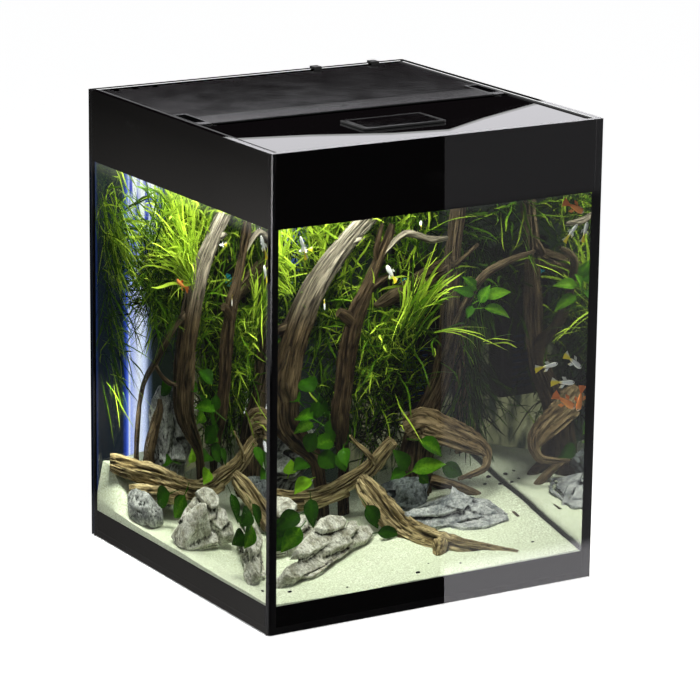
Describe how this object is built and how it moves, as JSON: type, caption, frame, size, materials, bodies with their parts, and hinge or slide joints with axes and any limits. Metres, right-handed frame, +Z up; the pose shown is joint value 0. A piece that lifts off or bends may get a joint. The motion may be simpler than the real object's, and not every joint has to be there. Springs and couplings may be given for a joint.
{
  "type": "aquarium",
  "caption": "Tall square glass aquarium with black bands, hinged lid with feeding flap, light bar, lift-off rear cover, internal filter, heater and a planted driftwood layout.",
  "frame": {"origin": "centre of the bounding box at the underside of the base", "axes": "+Z up, -Y the front pane, +X to the right as seen from the front"},
  "size_m": [0.5, 0.5, 0.6325],
  "materials": {
    "glass": "clear float glass, polished edges",
    "silicone": "black silicone",
    "enamel": "black enamel seen through the glass",
    "background": "dark background sheet",
    "rail": "black, fine ridges",
    "bar_metal": "dark anodised, brushed",
    "end_cap": "black, satin",
    "board": "white circuit board",
    "diffuser": "frosted",
    "steel": "stainless",
    "lid": "polished black",
    "hatch": "dark grey, satin",
    "flap": "black",
    "cover": "polished black",
    "clip": "black",
    "filter_body": "black",
    "sponge": "open foam",
    "ceramic": "ground",
    "magnet": "dark grey",
    "dial": "blue-green",
    "cup_rubber": "soft rubber",
    "heater_glass": "smoked glass tube",
    "heater_cap": "black",
    "sand": "fine pale sand",
    "pale_wood": "weathered driftwood",
    "dark_wood": "dark driftwood",
    "grey_stone": "rough, layered",
    "dark_stone": "rough",
    "slate": "layered slate",
    "fern": "soft leaves",
    "anubias": "broad leaves"
  },
  "bodies": {
    "tank": {"base_pane": "glass", "front_pane": "glass", "rear_pane": "glass", "left_pane": "glass", "right_pane": "glass", "silicone_joints": "silicone", "upper_band": "enamel", "lower_band": "enamel", "background_sheet": "background", "left_rail": "rail", "right_rail": "rail", "light_bar": "bar_metal", "left_end_cap": "end_cap", "right_end_cap": "end_cap", "lamp_board": "board", "lamp_diffuser": "diffuser", "end_cap_screws": "steel", "lid_hinge_pins": "steel", "rim_clips": "clip", "filter_case": "filter_body", "filter_sponge": "sponge", "pump_head": "filter_body", "pump_plate": "filter_body", "pump_shaft": "ceramic", "filter_cups": "cup_rubber", "heater_tube": "heater_glass", "heater_cap_piece": "heater_cap", "heater_rings": "cup_rubber", "sand_bed": "sand", "main_trunk": "pale_wood", "middle_trunk": "dark_wood", "right_trunk": "dark_wood", "left_root": "dark_wood", "long_log": "pale_wood", "short_log": "pale_wood", "front_stone": "grey_stone", "left_stone": "grey_stone", "round_stone": "dark_stone", "rear_slate": "slate", "right_slate": "slate", "middle_slate": "slate", "left_fern": "fern", "middle_fern": "fern", "top_fern": "fern", "left_anubias": "anubias", "right_anubias": "anubias"},
    "lid": {"front_lid": "lid", "hatch_frame": "hatch", "flap_pin": "steel"},
    "flap": {"feeding_flap": "flap"},
    "cover": {"rear_cover": "cover"},
    "nozzle": {"outlet_nozzle": "filter_body"},
    "rotor": {"pump_rotor": "magnet"},
    "dial": {"flow_dial": "dial"}
  },
  "joints": [
    {"name": "lid_hinge", "type": "hinge", "parent": "tank", "child": "lid", "pos_m": [0, -0.0436, 0.6253], "axis": [-1, 0, 0], "range_deg": [0, 95]},
    {"name": "flap_hinge", "type": "hinge", "parent": "lid", "child": "flap", "pos_m": [-0.0585, -0.137, 0.6296], "axis": [0, -1, 0], "range_deg": [0, 100]},
    {"name": "cover_lift", "type": "slide", "parent": "tank", "child": "cover", "axis": [0, 0, 1], "range_m": [0, 0.045]},
    {"name": "nozzle_swivel", "type": "hinge", "parent": "tank", "child": "nozzle", "pos_m": [0.132, 0.2077, 0.394], "axis": [0, 0, 1], "range_deg": [-60, 60]},
    {"name": "rotor_spin", "type": "hinge", "parent": "tank", "child": "rotor", "pos_m": [0.152, 0.2077, 0.345], "axis": [0, 0, 1], "continuous": true},
    {"name": "dial_turn", "type": "hinge", "parent": "tank", "child": "dial", "pos_m": [0.13, 0.1827, 0.358], "axis": [0, 1, 0], "range_deg": [0, 180]}
  ]
}
